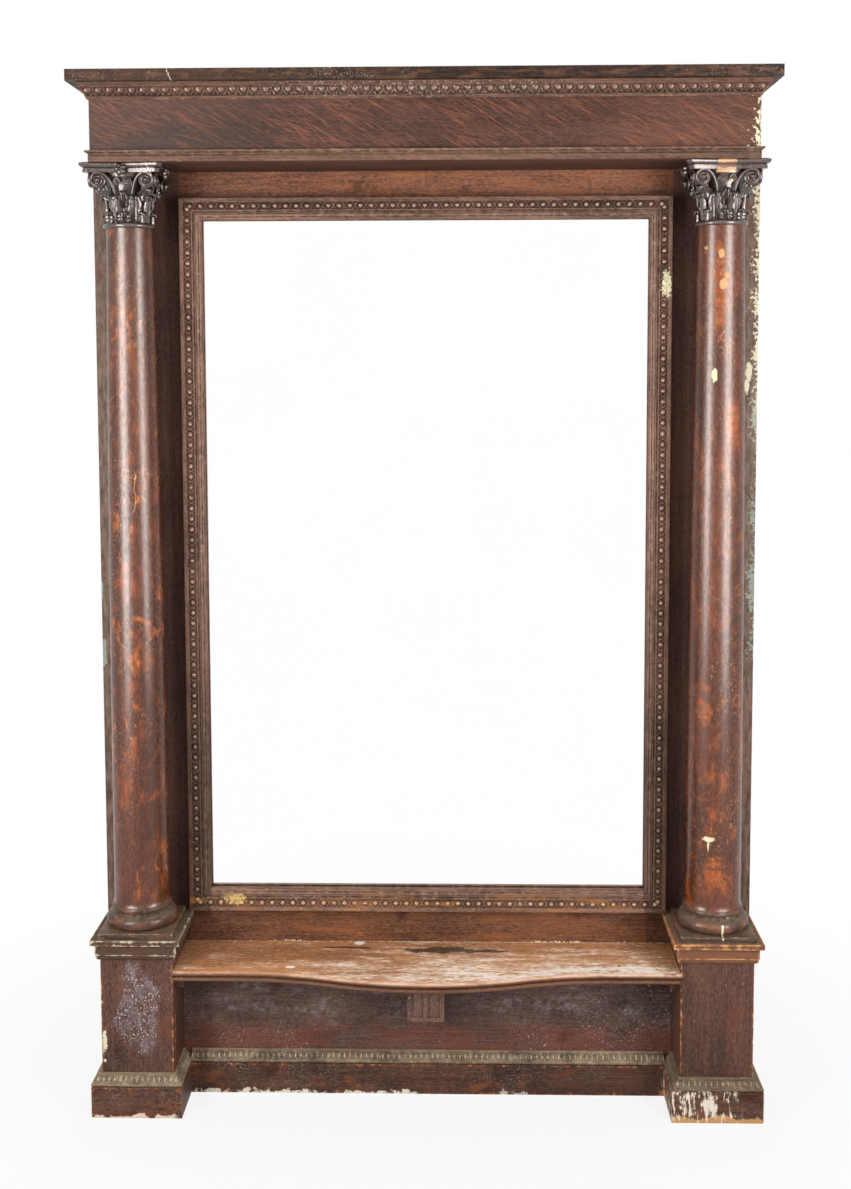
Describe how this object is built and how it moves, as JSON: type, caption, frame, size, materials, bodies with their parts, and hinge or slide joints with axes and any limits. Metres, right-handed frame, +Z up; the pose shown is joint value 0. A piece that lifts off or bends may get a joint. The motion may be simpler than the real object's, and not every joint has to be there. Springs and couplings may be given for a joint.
{
  "type": "pier mirror",
  "caption": "Tall standing oak mirror with a carved frame between columns on pedestals, an entablature above and a bow-fronted shelf below.",
  "frame": {"origin": "on the floor under the centre of the piece's bounding box", "axes": "+Z up, +X to the right seen from the front, -Y towards the viewer, +Y towards the wall"},
  "size_m": [1.424, 0.244, 2.183],
  "materials": {
    "case_oak": "dark stained and varnished quartersawn oak, worn",
    "carved_oak": "dark stained carved oak, dusty in the hollows and rubbed on the high points",
    "column_oak": "glossy varnished oak with a mottled figure",
    "capital_ornament": "nearly black varnish over carved ornament",
    "shelf_oak": "varnish worn through to pale wood",
    "mirror_silver": "silvered plate glass",
    "backing_pine": "bare softwood, aged",
    "screw_steel": "dull steel"
  },
  "bodies": {
    "root": {"abacus_flowers": "capital_ornament", "apron_board": "case_oak", "apron_moulding": "carved_oak", "architrave_moulding": "case_oak", "backing_boards": "backing_pine", "backing_screws": "screw_steel", "bottom_rail": "case_oak", "column_dowels": "backing_pine", "cornice_board": "case_oak", "cornice_screws": "screw_steel", "crown_moulding": "carved_oak", "entablature_glue_blocks": "backing_pine", "frame_moulding_bottom": "carved_oak", "frame_moulding_left": "carved_oak", "frame_moulding_right": "carved_oak", "frame_moulding_top": "carved_oak", "frieze_board": "case_oak", "frieze_ends": "case_oak", "left_abacus": "capital_ornament", "left_base_block": "column_oak", "left_cap_moulding": "case_oak", "left_capital_bell": "capital_ornament", "left_capital_leaves": "capital_ornament", "left_capital_volutes": "capital_ornament", "left_column_base": "column_oak", "left_column_shaft": "column_oak", "left_necking_ring": "capital_ornament", "left_pedestal_cap": "case_oak", "left_pedestal_front": "case_oak", "left_pedestal_inner_side": "case_oak", "left_pedestal_moulding": "carved_oak", "left_pedestal_outer_side": "case_oak", "left_pedestal_plinth": "case_oak", "left_stile": "case_oak", "mirror_packing_blocks": "backing_pine", "mirror_plate": "mirror_silver", "pedestal_corner_blocks": "backing_pine", "plinth_board": "case_oak", "right_abacus": "capital_ornament", "right_base_block": "column_oak", "right_cap_moulding": "case_oak", "right_capital_bell": "capital_ornament", "right_capital_leaves": "capital_ornament", "right_capital_volutes": "capital_ornament", "right_column_base": "column_oak", "right_column_shaft": "column_oak", "right_necking_ring": "capital_ornament", "right_pedestal_cap": "case_oak", "right_pedestal_front": "case_oak", "right_pedestal_inner_side": "case_oak", "right_pedestal_moulding": "carved_oak", "right_pedestal_outer_side": "case_oak", "right_pedestal_plinth": "case_oak", "right_stile": "case_oak", "shelf_bearers": "backing_pine", "shelf_board": "shelf_oak", "shelf_bracket": "case_oak", "sight_slips": "case_oak", "soffit_board": "case_oak", "top_rail": "case_oak"}
  },
  "joints": []
}
